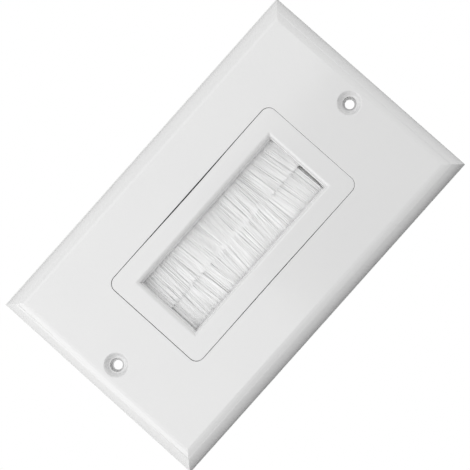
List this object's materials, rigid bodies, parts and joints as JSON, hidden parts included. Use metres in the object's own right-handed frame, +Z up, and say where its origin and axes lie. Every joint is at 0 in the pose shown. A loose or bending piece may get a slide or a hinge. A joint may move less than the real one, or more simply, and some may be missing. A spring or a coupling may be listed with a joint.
{
  "type": "cable pass-through wall plate",
  "caption": "Decorator wall plate with a flush brush insert: cables pass the window between two facing nylon brushes, and a strap behind takes the box and plate screws.",
  "frame": {"origin": "centre of the plate on the wall plane, which the plate's rim and the strap's ears lie on", "axes": "+Z up along the plate's long side, -Y out of the wall towards the room, +X to the right seen from the room"},
  "size_m": [0.0698, 0.011, 0.1142],
  "materials": {
    "plate_plastic": "white moulded plastic, satin gloss",
    "insert_plastic": "white moulded plastic, satin gloss",
    "brush_nylon": "white translucent nylon filament",
    "channel_metal": "zinc-plated folded sheet",
    "core_wire": "drawn wire",
    "zinc_screws": "bright zinc plating"
  },
  "bodies": {
    "root": {"wall_plate": "plate_plastic", "brush_insert": "insert_plastic", "rear_retainer": "insert_plastic", "retainer_screws": "zinc_screws", "left_brush_channel": "channel_metal", "right_brush_channel": "channel_metal", "left_core_wire": "core_wire", "right_core_wire": "core_wire", "left_filaments_1": "brush_nylon", "left_filaments_2": "brush_nylon", "left_filaments_3": "brush_nylon", "left_filaments_4": "brush_nylon", "right_filaments_1": "brush_nylon", "right_filaments_2": "brush_nylon", "right_filaments_3": "brush_nylon", "right_filaments_4": "brush_nylon"}
  },
  "joints": []
}
